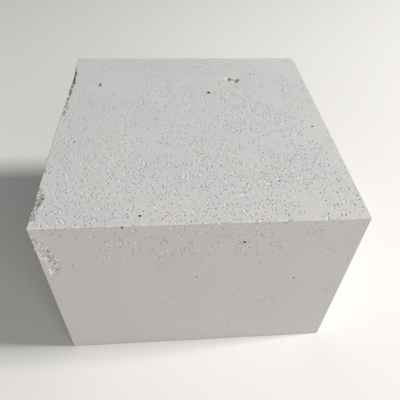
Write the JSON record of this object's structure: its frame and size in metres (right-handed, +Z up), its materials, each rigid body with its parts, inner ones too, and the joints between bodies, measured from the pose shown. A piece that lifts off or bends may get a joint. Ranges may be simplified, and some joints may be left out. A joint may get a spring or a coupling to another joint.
{
  "type": "refractory firebrick",
  "caption": "Square-edged block of porous insulating firebrick for lining a kiln or furnace, with a crumbled arris and open bubbles.",
  "frame": {"origin": "middle of the lower bed, the face that the block rests on", "axes": "+Z up through the block's height, +Y along its length from the front face to the back face, +X across it to the right as seen from the front"},
  "size_m": [0.22, 0.23, 0.155],
  "materials": {
    "fired_clay": "matt, fine-grained and porous"
  },
  "bodies": {
    "root": {"firebrick": "fired_clay"}
  },
  "joints": []
}
